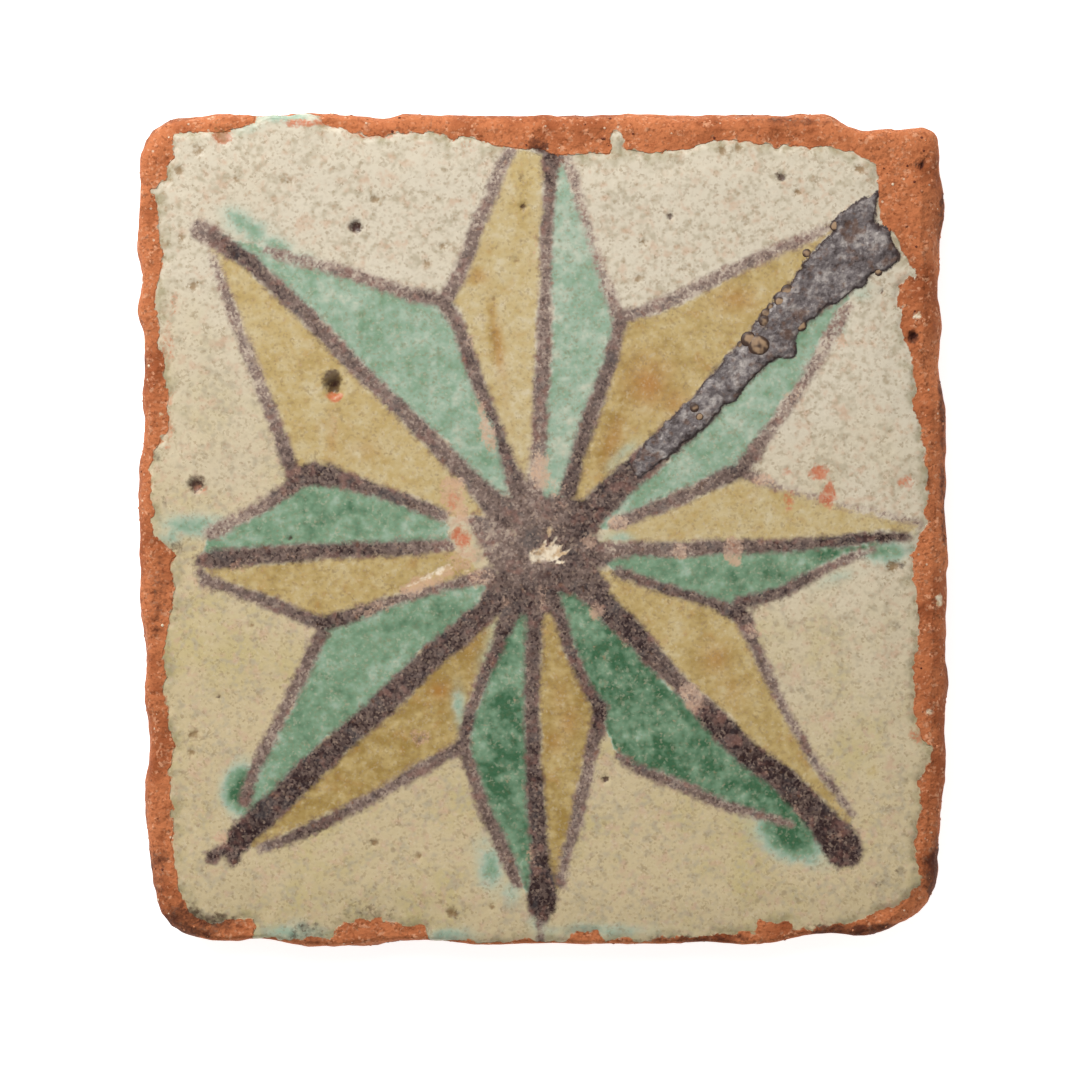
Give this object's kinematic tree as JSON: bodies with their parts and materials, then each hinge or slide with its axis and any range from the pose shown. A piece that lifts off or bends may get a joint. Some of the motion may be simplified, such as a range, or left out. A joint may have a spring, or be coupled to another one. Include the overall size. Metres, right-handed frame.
{
  "type": "glazed wall tile",
  "caption": "Old hand-made tin-glazed terracotta tile, nearly square, painted with an eight-pointed star in green and yellow, its worn rim bare clay.",
  "frame": {"origin": "middle of the box's underside, on the surface that the tile's back lies on", "axes": "+Z out of the painted face, +X to the right and +Y up the face as the star is seen in the picture"},
  "size_m": [0.1316, 0.135, 0.0185],
  "materials": {
    "glazed_terracotta": "orange-brown terracotta under a semi-gloss cream tin glaze, painted in copper green, ochre yellow and manganese"
  },
  "bodies": {
    "root": {"majolica_tile": "glazed_terracotta"}
  },
  "joints": []
}
